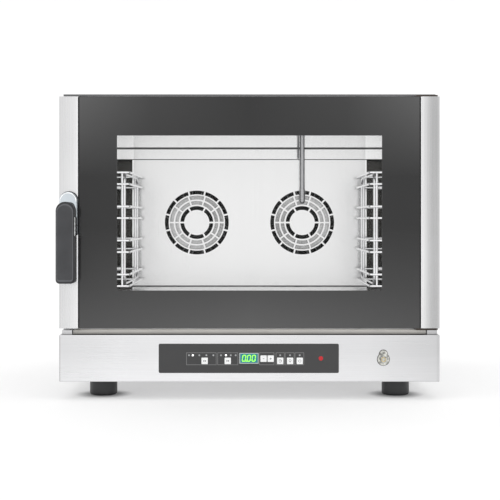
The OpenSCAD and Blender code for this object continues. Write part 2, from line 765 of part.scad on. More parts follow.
module door_rails() {
  x1 = stile_x - 0.2;
  open_x = 318;
  open_z = [door_z0 + 32, door_z1 - 30];
  y0 = y_door + outer_glass_t + 0.1;
  y1 = y_door_back - inner_glass_t - 0.1;
  color("dimgray") difference() {
    union() {
      span([-x1, y0, door_z0 + 0.1], [x1, y1, door_z1 - 0.1]);
      for (z = [door_z0, door_z1 - 1.2]) span([-x1, y_door, z], [x1, y_door_back, z + 1.2]);
    }
    span([-open_x, y0 - 1, open_z[0]], [open_x, y1 + 1, open_z[1]]);
    difference() {
      span([-x1 - 1, y0 + sheet, door_z0 + 1.5], [x1 + 1, y1 - sheet, door_z1 - 1.5]);
      span([-open_x - sheet, y0, open_z[0] - sheet], [open_x + sheet, y1, open_z[1] + sheet]);
    }
  }
}

module outer_glass() {
  color([0.2, 0.2, 0.2, 0.6]) span([-glass_x, y_door, door_z0 + 1.3], [glass_x, y_door + outer_glass_t, door_z1 - 1.3]);
}

module inner_glass() {
  color([0.8, 0.85, 0.85, 0.4])
    span([-glass_x + 2, y_door_back - inner_glass_t, door_z0 + 5], [glass_x - 2, y_door_back, door_z1 - 5]);
}

module glass_clips() {
  color("silver") for (x = [-220, 220], z = [door_z0 + 1.3, door_z1 - 13.3])
    span([x - 12, y_door_back + 0.05, z], [x + 12, y_door_back + 1.5, z + 12]);
}

// A bar of width w with a round top whose centre is at x and z, and rounded corners at its lower end z0
module bar_outline(x, z, w, z0, r_low) {
  translate([x, z]) circle(w / 2);
  translate([x - w / 2, z0 + r_low]) square([w, z - z0 - r_low]);
  translate([x - w / 2 + r_low, z0]) square([w - 2 * r_low, r_low + 1]);
  for (s = [-1, 1]) translate([x + s * (w / 2 - r_low), z0 + r_low]) circle(r_low);
}

module handle_hub() {
  neck_x = [spindle_x - hub_r + 1, spindle_x + hub_r - 1];
  color("silver") difference() {
    union() {
      plate_y(y_door - hub_t, y_door - 0.5) bar_outline(spindle_x, spindle_z, 2 * hub_r, neck_z[0] - 2, 6);
      span([neck_x[0], y_door - hub_t - neck_reach, neck_z[0]], [neck_x[1], y_door - hub_t + 1, neck_z[1]]);
    }
    rod_y(spindle_x, y_door - hub_t + 3, y_door, spindle_z, spindle_r + 0.02);
  }
}

module handle_grip() {
  grip_drop = 21;  // the grip's top arc lies this far below the hub's axis
  fit_gap = 0.05;
  color("black") difference() {
    plate_y(y_grip, y_door - hub_t - fit_gap)
      bar_outline(grip_x, spindle_z - grip_drop, grip_w, spindle_z - grip_drop + grip_w / 2 - grip_l, 8);
    span([grip_x - grip_w, y_door - hub_t - neck_reach - fit_gap, neck_z[0] - fit_gap],
         [grip_x + grip_w, y_door, neck_z[1] + fit_gap]);
  }
}

module latch_spindle() {
  color("gray") union() {
    rod_y(spindle_x, y_door - hub_t + 3.1, y_body + 5, spindle_z, spindle_r);
    span([spindle_x - 3, y_door_back + 0.6, spindle_z], [spindle_x + 3, y_body + 5, spindle_z + 11]);
  }
}

base_pan();
side_panel_left();
side_panel_right();
top_cover();
rear_panel();
front_frame();
cavity_liner();
insulation();
door_gasket();
fan_baffle();
air_strip();
heating_element_left();
heating_element_right();
motor_left();
motor_right();
rack_left();
rack_right();
rack_studs();
steam_tube();
cavity_sensor();
cavity_lamp();
drip_tray();
control_panel();
control_overlay();
display_window();
indicator_leds();
probe_plate();
probe_jack();
control_board();
power_unit();
water_valve();
drain_pipe();
vent_pipe();
cable_gland();
cooling_fan_frame();
hinge_brackets();
latch_keeper();
feet();
casing_screws();
fan_wheel_left();
fan_wheel_right();
fan_shaft_left();
fan_shaft_right();
cooling_fan_rotor();
key_mode();
key_program();
key_minus();
key_plus();
key_time();
key_light();
key_start();
door_stile_left();
door_stile_right();
door_rails();
outer_glass();
inner_glass();
glass_clips();
handle_hub();
handle_grip();
latch_spindle();
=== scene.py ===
"""The looks of the combi steamer oven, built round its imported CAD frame. Metres, front toward -Y, +Z up."""
import json
import math

import bmesh
import bpy
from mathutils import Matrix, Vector


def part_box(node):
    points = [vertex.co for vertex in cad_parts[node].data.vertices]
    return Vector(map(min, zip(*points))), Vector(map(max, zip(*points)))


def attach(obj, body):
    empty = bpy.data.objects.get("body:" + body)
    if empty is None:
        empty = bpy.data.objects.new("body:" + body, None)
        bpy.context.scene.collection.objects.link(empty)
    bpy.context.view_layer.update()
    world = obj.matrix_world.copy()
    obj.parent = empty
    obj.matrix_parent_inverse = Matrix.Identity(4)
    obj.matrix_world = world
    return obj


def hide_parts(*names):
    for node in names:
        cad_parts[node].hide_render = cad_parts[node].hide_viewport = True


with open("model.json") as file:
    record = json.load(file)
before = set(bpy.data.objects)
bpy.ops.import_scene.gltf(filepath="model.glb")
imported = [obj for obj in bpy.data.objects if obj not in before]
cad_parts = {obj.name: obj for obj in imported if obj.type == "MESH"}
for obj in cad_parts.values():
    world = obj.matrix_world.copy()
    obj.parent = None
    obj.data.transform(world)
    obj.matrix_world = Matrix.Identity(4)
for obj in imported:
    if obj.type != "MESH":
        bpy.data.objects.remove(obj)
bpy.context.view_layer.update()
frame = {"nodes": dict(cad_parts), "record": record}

BODIES = frame["record"]["behaviour"]["bodies"]
BODY_OF = {node: body for body, nodes in BODIES.items() for node in nodes}
SLOT_OF = {s["node"]: s["material_slot"] for s in frame["record"]["subparts"]}
MM = 0.001
WELD = 1e-6            # points nearer than this are one point
FLAT_ANGLE = 0.6       # degrees within which neighbouring faces count as one flat face
SHARP_ANGLE = 35       # degrees from which an edge is shown sharp
EDGE_ANGLE = 30        # degrees from which an edge is rounded
WHITE = (1, 1, 1, 1)
GLASS_IOR = 1.5
GRAIN_DEPTH = 0.0002   # how deep the steel's brushing lies
PEBBLE_DEPTH = 0.0001  # how deep the moulded grain lies


# ---------------------------------------------------------------- materials

def principled(tree):
    return next(n for n in tree.nodes if n.type == "BSDF_PRINCIPLED")


def new_material(name):
    """A node material, its tree and its Principled shader."""
    mat = bpy.data.materials.new(name)
    mat.use_nodes = True
    return mat, mat.node_tree, principled(mat.node_tree)


def add(tree, kind, inputs=None, **settings):
    """A new node with its settings. An input is a value, or an output of another node to be linked."""
    node = tree.nodes.new(kind)
    for key, value in settings.items():
        setattr(node, key, value)
    for key, value in (inputs or {}).items():
        if hasattr(value, "is_output"):
            tree.links.new(value, node.inputs[key])
        else:
            node.inputs[key].default_value = value
    return node


def stretched_noise(tree, scale, detail=4.0, seed=0.0, rough=0.55):
    """Noise in the piece's own metres, stretched by a different scale along each axis."""
    where = add(tree, "ShaderNodeTexCoord").outputs["Object"]
    moved = add(tree, "ShaderNodeMapping",
                {"Vector": where, "Location": (seed, seed * 1.7, seed * 0.6), "Scale": scale})
    noise = add(tree, "ShaderNodeTexNoise",
                {"Vector": moved.outputs["Vector"], "Scale": 1.0, "Detail": detail, "Roughness": rough})
    return noise.outputs["Fac"]


def ranged(tree, value, lo, hi, from_lo=0.3, from_hi=0.7):
    """A value carried from one range to another."""
    node = add(tree, "ShaderNodeMapRange",
               {"Value": value, "From Min": from_lo, "From Max": from_hi, "To Min": lo, "To Max": hi})
    return node.outputs["Result"]


def tinted(tree, value, dark, light, from_lo=0.3, from_hi=0.7):
    """A colour between two tones, led by a value."""
    part = ranged(tree, value, 0.0, 1.0, from_lo, from_hi)
    mix = add(tree, "ShaderNodeMix", {"Factor": part}, data_type="RGBA")
    mix.inputs["A"].default_value = (*dark, 1)
    mix.inputs["B"].default_value = (*light, 1)
    return mix.outputs["Result"]


def two_tones(tone, spread):
    """A darker and a lighter form of one tone."""
    dark = tuple(c * (1 - spread) for c in tone)
    light = tuple(min(1, c * (1 + spread)) for c in tone)
    return dark, light


def grey(stops):
    """Stops of place and brightness, as stops of place and colour."""
    return [(where, (v, v, v)) for where, v in stops]


def blended(tree, first, second, kind):
    """Two colours added or multiplied."""
    mix = add(tree, "ShaderNodeMix", {"Factor": 1.0}, data_type="RGBA", blend_type=kind)
    tree.links.new(first, mix.inputs["A"])
    tree.links.new(second, mix.inputs["B"])
    return mix.outputs["Result"]


def bumped(tree, shader, height, strength, distance):
    """Small relief that follows a height value."""
    bump = add(tree, "ShaderNodeBump", {"Height": height, "Strength": strength, "Distance": distance})
    tree.links.new(bump.outputs["Normal"], shader.inputs["Normal"])


def steel(name, tone, roughness, grain=(14, 14, 900), bump=0.06, spread=0.05, smudge=0.06):
    """Brushed or rolled stainless sheet: fine grain along one axis and cloudy smudges."""
    mat, tree, shader = new_material(name)
    shader.inputs["Metallic"].default_value = 1.0
    lines = stretched_noise(tree, grain, detail=5, seed=1.3)
    cloud = stretched_noise(tree, (5, 5, 5), detail=3, seed=4.1)
    both = add(tree, "ShaderNodeMath", {0: lines, 1: cloud}, operation="ADD").outputs[0]
    dark, light = two_tones(tone, spread)
    tree.links.new(tinted(tree, both, dark, light, 0.75, 1.25), shader.inputs["Base Color"])
    half = smudge * 0.5
    fine = ranged(tree, lines, roughness - half, roughness + half)
    drift = ranged(tree, cloud, -half, half)
    rough = add(tree, "ShaderNodeMath", {0: fine, 1: drift}, operation="ADD")
    tree.links.new(rough.outputs[0], shader.inputs["Roughness"])
    bumped(tree, shader, lines, bump, GRAIN_DEPTH)
    return mat


def ramp_by_place(tree, axis, stops):
    """A tone that follows the piece's own X, Y or Z: stops are pairs of place in metres and colour."""
    place = add(tree, "ShaderNodeTexCoord").outputs["Object"]
    coord = add(tree, "ShaderNodeSeparateXYZ", {"Vector": place}).outputs[axis]
    first, last = stops[0][0], stops[-1][0]
    part = ranged(tree, coord, 0.0, 1.0, first, last)
    ramp = add(tree, "ShaderNodeValToRGB", {"Fac": part})
    band = ramp.color_ramp
    while len(band.elements) < len(stops):
        band.elements.new(0.5)
    for element, (where, tone) in zip(band.elements, stops):
        element.position = (where - first) / (last - first)
        element.color = (*tone, 1)
    return ramp.outputs["Color"]


def shaded_by_place(mat, axis, stops):
    """Multiplies a material's colour by a slow ramp along one axis."""
    tree = mat.node_tree
    colour = principled(tree).inputs["Base Color"]
    ramp = ramp_by_place(tree, axis, grey(stops))
    tree.links.new(blended(tree, colour.links[0].from_socket, ramp, "MULTIPLY"), colour)
    return mat


def moulded(name, tone, roughness, grain=1400, bump=0.12, spread=0.12, coat=0.0, specular=0.5):
    """Moulded plastic or rubber: fine pebbled grain, cloudy tone and slightly rubbed patches."""
    mat, tree, shader = new_material(name)
    shader.inputs["Specular IOR Level"].default_value = specular
    if coat:
        shader.inputs["Coat Weight"].default_value = coat
        shader.inputs["Coat Roughness"].default_value = 0.08
    pebble = stretched_noise(tree, (grain,) * 3, detail=2, seed=2.2)
    cloud = stretched_noise(tree, (22, 22, 22), detail=4, seed=7.7)
    dark, light = two_tones(tone, spread)
    tree.links.new(tinted(tree, cloud, dark, light), shader.inputs["Base Color"])
    tree.links.new(ranged(tree, cloud, roughness - 0.05, roughness + 0.05), shader.inputs["Roughness"])
    bumped(tree, shader, pebble, bump, PEBBLE_DEPTH)
    return mat


def clear_pane(name, tone, alpha, roughness=0.02):
    """Clear glass, faintly smeared, that lets light through."""
    mat, tree, shader = new_material(name)
    shader.inputs["Alpha"].default_value = alpha
    shader.inputs["IOR"].default_value = GLASS_IOR
    smear = stretched_noise(tree, (9, 9, 4), detail=4, seed=3.3)
    tree.links.new(tinted(tree, smear, tuple(c * 0.93 for c in tone), tone), shader.inputs["Base Color"])
    tree.links.new(ranged(tree, smear, roughness, roughness + 0.05), shader.inputs["Roughness"])
    return mat


def printed_glass(name, tone, painted_light_shape=()):
    """Glass with a dark print behind it, with faint waves and dust. Each painted light shape is a painted
    reflection added to
    its tone: a group of an axis with its stops, whose ramps are multiplied together."""
    mat, tree, shader = new_material(name)
    shader.inputs["IOR"].default_value = GLASS_IOR
    dust = stretched_noise(tree, (700, 700, 700), detail=2, seed=5.5)
    wave = stretched_noise(tree, (4, 4, 4), detail=2, seed=8.8)
    light = tuple(c * 1.25 for c in tone)
    colour = tinted(tree, wave, tone, light)
    # Each group adds a painted reflection to the print's tone.
    for group in painted_light_shape:
        painted_reflection = None
        for axis, stops in group:
            part = ramp_by_place(tree, axis, grey(stops))
            painted_reflection = part if painted_reflection is None else blended(tree, painted_reflection, part, "MULTIPLY")
        colour = blended(tree, colour, painted_reflection, "ADD")
    tree.links.new(colour, shader.inputs["Base Color"])
    tree.links.new(ranged(tree, dust, 0.10, 0.16), shader.inputs["Roughness"])
    bumped(tree, shader, wave, 0.02, 0.0005)
    return mat


def glowing(name, tone, strength):
    """A lit segment or lamp, with faint flecks in its face."""
    mat, tree, shader = new_material(name)
    fleck = stretched_noise(tree, (400, 400, 400), detail=2, seed=6.1)
    tree.links.new(tinted(tree, fleck, tuple(c * 0.92 for c in tone), tone), shader.inputs["Base Color"])
    shader.inputs["Emission Color"].default_value = (*tone, 1)
    shader.inputs["Emission Strength"].default_value = strength
    shader.inputs["Roughness"].default_value = 0.35
    return mat


def fibre(name, dark, light):
    """Mineral wool: matted fibres in two tones."""
    mat, tree, shader = new_material(name)
    strands = stretched_noise(tree, (900, 300, 300), detail=8, seed=9.4, rough=0.7)
    tree.links.new(tinted(tree, strands, dark, light), shader.inputs["Base Color"])
    shader.inputs["Roughness"].default_value = 0.95
    bumped(tree, shader, strands, 0.8, 0.002)
    return mat


def liner_steel(name, tone, painted_shade_tone, y_start, y_full, roughness):
    """The cavity's sheet: bright at the front and darkened with painted shade behind the fan baffle."""
    mat = steel(name, tone, roughness, grain=(900, 10, 10), bump=0.05, smudge=0.08)
    tree = mat.node_tree
    shader = principled(tree)
    unshaded_steel = shader.inputs["Base Color"].links[0].from_socket
    place = add(tree, "ShaderNodeTexCoord").outputs["Object"]
    depth = add(tree, "ShaderNodeSeparateXYZ", {"Vector": place}).outputs["Y"]
    # Noise that wobbles the edge of the painted shade.
    painted_light_shape = stretched_noise(tree, (30, 30, 30), detail=4, seed=2.9)
    edge = add(tree, "ShaderNodeMath", {0: painted_light_shape, 1: 0.02}, operation="MULTIPLY").outputs[0]
    moved = add(tree, "ShaderNodeMath", {0: depth, 1: edge}, operation="ADD").outputs[0]
    share = ranged(tree, moved, 0.0, 1.0, y_start, y_full)
    mix = add(tree, "ShaderNodeMix", {"Factor": share}, data_type="RGBA")
    tree.links.new(unshaded_steel, mix.inputs["A"])
    mix.inputs["B"].default_value = (*painted_shade_tone, 1)
    tree.links.new(mix.outputs["Result"], shader.inputs["Base Color"])
    return mat


def both_ways(stops):
    """Stops on the right of the middle, with the same ones mirrored on its left."""
    return tuple((-where, v) for where, v in reversed(stops)) + stops


# Places in the frame that the painted highlights, shades and reflections start from
half_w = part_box("control_panel")[1].x
stile_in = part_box("door_stile_right")[0].x
baffle_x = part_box("fan_baffle")[1].x
baffle_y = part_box("fan_baffle")[0].y
cover_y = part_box("top_cover")[0].y
grip_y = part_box("handle_grip")[0].y
wheel_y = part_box("fan_wheel_left")[0].y
panel_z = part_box("control_panel")[0].z
tray_z0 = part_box("drip_tray")[0].z
tray_z1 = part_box("drip_tray")[1].z

# The painted highlights, shades and reflections themselves: pairs of place and brightness
# Painted reflections on the glass print: lighter towards the upper outer corners, and lighter low in the
# middle.
GLASS_PAINTED_REFLECTION = (
    (("X", ((-0.36, 1.0), (-0.20, 0.25), (0.0, 0.0), (0.20, 0.25), (0.36, 1.0))),
     ("Z", ((0.46, 0.0), (0.62, 0.075)))),
    (("X", ((-0.36, 0.6), (0.0, 1.0), (0.36, 0.6))),
     ("Z", ((0.15, 0.075), (0.23, 0.042), (0.36, 0.006)))),
)
# Painted light on the baffle: a painted highlight along its folded side edges, with a darker painted shade
# line just inside them.
BAFFLE_PAINTED_LIGHT = both_ways((
    (0.05, 1.0), (baffle_x - 0.0135, 0.97), (baffle_x - 0.0045, 0.93), (baffle_x - 0.0035, 1.14),
    (baffle_x, 1.14)))
# Painted light on the drip tray: a dark painted shade line along its bottom, growing lighter to a painted
# highlight at its top.
TRAY_PAINTED_LIGHT = ((tray_z0, 0.15), (tray_z0 + 0.0008, 0.62), (tray_z0 + 0.0040, 0.85), (tray_z1, 1.2))
# Painted shade in the fan: the front ring keeps its tone, and everything deeper behind it is painted dark.
FAN_PAINTED_SHADE = ((wheel_y, 1.0), (wheel_y + 0.0005, 1.0), (wheel_y + 0.0010, 0.14), (wheel_y + 0.045, 0.06))
# Painted light across the door: darker painted shade at the outer edges, a painted highlight along the
# stiles' inner edges by the glass, and the right stile painted darker towards its outer side.
STILE_PAINTED_LIGHT = (
    (-half_w, 0.80), (-half_w + 0.002, 0.86), (-half_w + 0.020, 0.93), (-stile_in - 0.004, 1.0),
    (-stile_in, 1.18), (stile_in, 1.22), (stile_in + 0.004, 1.02),
    (stile_in + 0.014, 0.78), (stile_in + 0.023, 0.62),
    (half_w - 0.004, 0.60), (half_w, 0.85))
# Painted light on the grip: a thin painted highlight line just behind its front face, with its rounded edges
# and sides painted darker further back.
GRIP_PAINTED_LIGHT = (
    (grip_y, 1.0), (grip_y + 0.0007, 1.05), (grip_y + 0.0009, 2.6), (grip_y + 0.0012, 1.2),
    (grip_y + 0.0018, 0.55), (grip_y + 0.0330, 0.12))
# Painted light across the control panel: darker painted shade at its left and right edges and on its right
# end.
PANEL_PAINTED_LIGHT_ACROSS = (
    (-half_w, 0.55), (-half_w + 0.0025, 0.90), (-0.27, 1.0), (0.0, 1.0), (0.24, 0.93),
    (half_w - 0.0070, 0.78), (half_w - 0.0035, 0.66), (half_w, 0.85))
# Painted light up the control panel: a dark painted shade line at its bottom edge, painted highlights low
# down and just under the drip tray, and a dark painted shade line below the tray.
PANEL_PAINTED_LIGHT_UP = (
    (panel_z, 0.80), (panel_z + 0.002, 1.13), (panel_z + 0.027, 1.08), (panel_z + 0.062, 1.0),
    (tray_z0 - 0.0028, 1.0), (tray_z0 - 0.0020, 1.2), (tray_z0 - 0.0015, 1.2),
    (tray_z0 - 0.0012, 0.42), (tray_z0 - 0.0008, 0.42),
    (tray_z0, 0.8), (tray_z0 + 0.008, 0.9))
# Painted shade on the top cover's front lip above the door, fading out a few millimetres back.
COVER_PAINTED_SHADE = ((cover_y - 0.0005, 0.25), (cover_y + 0.0013, 0.30), (cover_y + 0.0030, 1.0))
SHEET_GRAIN = (6, 6, 700)
POLISH_GRAIN = (40, 40, 40)

MAT = {
    "casing_steel": steel("casing_steel", (0.64, 0.64, 0.65), 0.27, SHEET_GRAIN, bump=0.04, spread=0.05),
    "frame_steel": steel("frame_steel", (0.70, 0.70, 0.71), 0.32),
    # Behind the baffle the cavity's sheet turns nearly black: painted shade where little light reaches.
    "cavity_steel": liner_steel("cavity_steel", (0.78, 0.78, 0.78), (0.05, 0.048, 0.045),
                                baffle_y - 0.004, baffle_y + 0.012, 0.22),
    # The baffle's colour carries a painted highlight and shade along its side edges.
    "baffle_steel": shaded_by_place(
        steel("baffle_steel", (0.87, 0.87, 0.87), 0.25, grain=(500, 5, 4), bump=0.004, spread=0.015,
              smudge=0.03), "X", BAFFLE_PAINTED_LIGHT),
    "mineral_wool": fibre("mineral_wool", (0.42, 0.36, 0.20), (0.72, 0.66, 0.46)),
    "gasket_rubber": moulded("gasket_rubber", (0.014, 0.014, 0.015), 0.6, grain=900, specular=0.25),
    "element_metal": moulded("element_metal", (0.06, 0.055, 0.05), 0.55, grain=500, bump=0.3),
    "motor_paint": moulded("motor_paint", (0.10, 0.12, 0.14), 0.42, grain=350, bump=0.2),
    "wire_steel": steel("wire_steel", (0.90, 0.90, 0.91), 0.12, grain=(60, 60, 60), bump=0.02),
    "tube_steel": steel("tube_steel", (0.46, 0.46, 0.47), 0.24, grain=(300, 300, 5), bump=0.04),
    "sensor_metal": steel("sensor_metal", (0.18, 0.18, 0.19), 0.35, grain=(300, 300, 5)),
    "lamp_glass": clear_pane("lamp_glass", (0.92, 0.90, 0.84), 0.7, 0.3),
    # The tray's colour carries painted shade at its bottom and a painted highlight at its top.
    "tray_plastic": shaded_by_place(
        moulded("tray_plastic", (0.52, 0.505, 0.475), 0.5, grain=700, spread=0.05), "Z", TRAY_PAINTED_LIGHT),
    "overlay_black": moulded("overlay_black", (0.042, 0.042, 0.043), 0.38, grain=2200, bump=0.05,
                             spread=0.06),
    "display_face": printed_glass("display_face", (0.02, 0.22, 0.26)),
    "led_lens": moulded("led_lens", (0.50, 0.52, 0.54), 0.25, coat=0.4),
    # The socket chrome's strong dark and bright mottling is a painted reflection.
    "socket_chrome": steel("socket_chrome", (0.46, 0.46, 0.43), 0.14, grain=(190, 190, 190), bump=0.05,
                           spread=0.95),
    "brass": steel("brass", (0.62, 0.50, 0.27), 0.26, grain=(200, 200, 200), bump=0.05),
    "circuit_board": moulded("circuit_board", (0.012, 0.10, 0.04), 0.35, grain=500, coat=0.3),
    "module_plastic": moulded("module_plastic", (0.022, 0.022, 0.024), 0.45),
    "valve_plastic": moulded("valve_plastic", (0.03, 0.08, 0.22), 0.45),
    "drain_plastic": moulded("drain_plastic", (0.10, 0.11, 0.12), 0.5),
    "hinge_metal": moulded("hinge_metal", (0.045, 0.03, 0.022), 0.45, grain=500),
    "foot_rubber": moulded("foot_rubber", (0.028, 0.028, 0.030), 0.42, grain=900, bump=0.2),
    "fastener_steel": steel("fastener_steel", (0.60, 0.60, 0.61), 0.25, grain=(200, 200, 200)),
    # The fan's colour carries painted shade deeper in.
    "fan_steel": shaded_by_place(
        steel("fan_steel", (0.52, 0.52, 0.52), 0.35, grain=(320, 320, 320), spread=0.45), "Y", FAN_PAINTED_SHADE),
    "key_white": moulded("key_white", (0.93, 0.94, 0.94), 0.35, grain=1500, spread=0.03, bump=0.05),
    # The door's steel carries painted highlights and shade across X.
    "door_steel": shaded_by_place(
        steel("door_steel", (0.80, 0.80, 0.805), 0.28, grain=(700, 700, 6), bump=0.05), "X", STILE_PAINTED_LIGHT),
    "rail_steel": moulded("rail_steel", (0.02, 0.02, 0.022), 0.4, grain=500),
    # The glass print's tone carries painted reflections.
    "printed_glass": printed_glass("printed_glass", (0.006, 0.006, 0.0062), GLASS_PAINTED_REFLECTION),
    "clear_glass": clear_pane("clear_glass", (0.50, 0.53, 0.53), 0.006),
    # The hub's chrome is a darker, bluish copy that stands for the reflection in its face. The rim has a
    # bright copy as painted highlight.
    "handle_chrome": steel("handle_chrome", (0.64, 0.69, 0.73), 0.06, POLISH_GRAIN, bump=0.01, smudge=0.03),
    # The grip's colour carries a painted highlight and painted shade.
    "grip_plastic": shaded_by_place(
        moulded("grip_plastic", (0.058, 0.059, 0.063), 0.48, grain=1500, bump=0.16, specular=0.25),
        "Y", GRIP_PAINTED_LIGHT),
}
# The panel's sheet carries painted highlights and shade across and up.
PANEL_STEEL = shaded_by_place(
    steel("panel_steel", (0.79, 0.79, 0.80), 0.30, SHEET_GRAIN, bump=0.04, spread=0.03),
    "X", PANEL_PAINTED_LIGHT_ACROSS)
shaded_by_place(PANEL_STEEL, "Z", PANEL_PAINTED_LIGHT_UP)
# The top cover's colour carries painted shade at its front lip.
COVER_STEEL = shaded_by_place(
    steel("cover_steel", (0.64, 0.64, 0.65), 0.27, SHEET_GRAIN, bump=0.04, spread=0.05), "Y", COVER_PAINTED_SHADE)
# The neck's strong dark and bright mottling is a painted reflection of chrome.
NECK_PAINTED_REFLECTIONS = steel("neck_chrome_painted_reflections", (0.52, 0.53, 0.55), 0.08, grain=(260, 60, 190), bump=0.02, spread=0.9,
                    smudge=0.03)
# A bright copy of the hub's chrome for its rim: a painted highlight.
HUB_RIM_PAINTED_HIGHLIGHT = steel("hub_rim_painted_highlight", (0.97, 0.97, 0.98), 0.08, POLISH_GRAIN, bump=0.01, smudge=0.03)
PRINT_GREY = moulded("print_grey", (0.22, 0.22, 0.22), 0.5, spread=0.05)
PRINT_PALE = moulded("print_pale", (0.62, 0.66, 0.66), 0.45, spread=0.04)
PRINT_DARK = moulded("print_dark", (0.10, 0.10, 0.11), 0.5, spread=0.05)
PRINT_RED = moulded("print_red", (0.55, 0.012, 0.02), 0.4, spread=0.05)
GLOW_GREEN = glowing("digit_green", (0.30, 1.0, 0.06), 1.1)
GLOW_WHITE = glowing("led_white", (1.0, 1.0, 1.0), 1.6)
# Dark grey for the painted shade in the air strip's groove.
GROOVE_PAINTED_SHADE = moulded("groove_painted_shade", (0.16, 0.16, 0.16), 0.6)
# Black for painted shade deep in holes.
HOLE_PAINTED_SHADE = moulded("hole_painted_shade", (0.008, 0.008, 0.008), 0.6)


# ---------------------------------------------------------------- mesh helpers

def finish_mesh(mesh):
    """Smooth shading, with the clear edges kept sharp."""
    mesh.polygons.foreach_set("use_smooth", [True] * len(mesh.polygons))
    mesh.set_sharp_from_angle(angle=math.radians(SHARP_ANGLE))


def piece(name, bm, material, body, replaces=()):
    """Turns a bmesh into a shown piece that rides on a body."""
    bmesh.ops.recalc_face_normals(bm, faces=bm.faces)
    mesh = bpy.data.meshes.new(name)
    bm.to_mesh(mesh)
    bm.free()
    obj = bpy.data.objects.new(name, mesh)
    bpy.context.scene.collection.objects.link(obj)
    mesh.materials.append(material)
    finish_mesh(mesh)
    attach(obj, body)
    if replaces:
        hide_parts(*replaces)
    return obj


def bevelled(obj, width, segments):
    """Rounds the edges of a piece and evens its shading."""
    mod = obj.modifiers.new("bevel", "BEVEL")
    mod.width = width
    mod.segments = segments
    mod.limit_method = "ANGLE"
    mod.angle_limit = math.radians(EDGE_ANGLE)
    mod.use_clamp_overlap = True
    mod.harden_normals = False
    weighted = obj.modifiers.new("weighted", "WEIGHTED_NORMAL")
    weighted.keep_sharp = False
    return obj


def dressed(node, width, segments=2, material=None):
    """A copy of a CAD node with its flat faces made whole and its edges rounded. It stands for the node."""
    bm = bmesh.new()
    bm.from_mesh(frame["nodes"][node].data)
    bmesh.ops.remove_doubles(bm, verts=bm.verts, dist=WELD)
    bmesh.ops.dissolve_limit(bm, angle_limit=math.radians(FLAT_ANGLE), verts=bm.verts, edges=bm.edges)
    slot = SLOT_OF[node]
    obj = piece(node + "_shell", bm, material or MAT[slot], BODY_OF[node], (node,))
    return bevelled(obj, width, segments)


def slab(bm, lo, hi):
    """Adds a box between two corners."""
    made = bmesh.ops.create_cube(bm, size=1.0)["verts"]
    for v in made:
        v.co = Vector([lo[i] + (v.co[i] + 0.5) * (hi[i] - lo[i]) for i in range(3)])


def loft(bm, rings):
    """Joins rings of points of equal length, one after another, and closes both ends."""
    rows = [[bm.verts.new(p) for p in ring] for ring in rings]
    for a, b in zip(rows, rows[1:]):
        for i in range(len(a)):
            j = (i + 1) % len(a)
            bm.faces.new((a[i], a[j], b[j], b[i]))
    bm.faces.new(rows[0][::-1])
    bm.faces.new(rows[-1])


def lathe(bm, profile, centre, axis="Z", steps=48):
    """Turns a profile of (radius, height) pairs round an axis through centre, along Z or Y."""
    cx, cy, cz = centre
    rings = []
    for r, h in profile:
        ring = []
        for k in range(steps):
            a = 2 * math.pi * k / steps
            c, s = r * math.cos(a), r * math.sin(a)
            ring.append((cx + c, cy + s, cz + h) if axis == "Z" else (cx + c, cy + h, cz + s))
        rings.append(ring)
    loft(bm, rings)


def arc(r, a0, a1, steps):
    """Points on an arc round the origin, between two angles in degrees."""
    angles = [math.radians(a0 + (a1 - a0) * k / steps) for k in range(steps + 1)]
    return [(r * math.cos(a), r * math.sin(a)) for a in angles]


def outline(x0, x1, z0, z1, r_low, r_top, steps=10):
    """A rectangle's outline with round corners, counter-clockwise from the lower right."""
    points = []
    for cx, cz, r, start in ((x1 - r_low, z0 + r_low, r_low, -90), (x1 - r_top, z1 - r_top, r_top, 0),
                             (x0 + r_top, z1 - r_top, r_top, 90), (x0 + r_low, z0 + r_low, r_low, 180)):
        points += [(cx + x, cz + z) for x, z in arc(r, start, start + 90, steps)]
    return points


def pillow(bm, x0, x1, z0, z1, r_low, r_top, y_front, y_back, round_front, round_back, crown=0.0, pull=1.0):
    """A plate with round corners and rounded front and back edges. Its face may bulge a little, and pull
    widens the rounding at the top and the bottom."""
    steps = 6
    least_r = 0.0002
    rings = []

    def ring(inset, y):
        top = z1 - inset * (pull if y < y_back - round_back else 1.0)
        low = z0 + (z1 - top if pull > 1 else inset)
        shape = outline(x0 + inset, x1 - inset, low, top, max(r_low - inset, least_r),
                        max(r_top - inset, least_r))
        rings.append([(x, y, z) for x, z in shape])

    for k in range(steps + 1):
        a = math.pi / 2 * k / steps
        ring(round_back * (1 - math.sin(a)), y_back - round_back * (1 - math.cos(a)))
    for k in range(steps + 1):
        a = math.pi / 2 * k / steps
        ring(round_front * (1 - math.cos(a)), y_front + crown + round_front * (1 - math.sin(a)))
    half = min(x1 - x0, z1 - z0) / 2
    for share in (0.35, 0.6, 0.8):
        ring(round_front + (half - round_front) * share, y_front + crown * (1 - share) ** 2)
    loft(bm, rings)


# ---------------------------------------------------------------- casing

FOOT_R = 0.029


def build_casing():
    dressed("control_panel", 0.6 * MM, material=PANEL_STEEL)
    dressed("top_cover", 0.7 * MM, material=COVER_STEEL)
    for node, width in (("side_panel_left", 0.5), ("side_panel_right", 0.5), ("rear_panel", 0.4),
                        ("base_pan", 0.4), ("front_frame", 0.4), ("hinge_brackets", 0.6),
                        ("latch_keeper", 0.4), ("drip_tray", 0.35), ("probe_plate", 0.5),
                        ("cable_gland", 0.5), ("water_valve", 0.8), ("power_unit", 0.8),
                        ("control_board", 0.4)):
        dressed(node, width * MM)


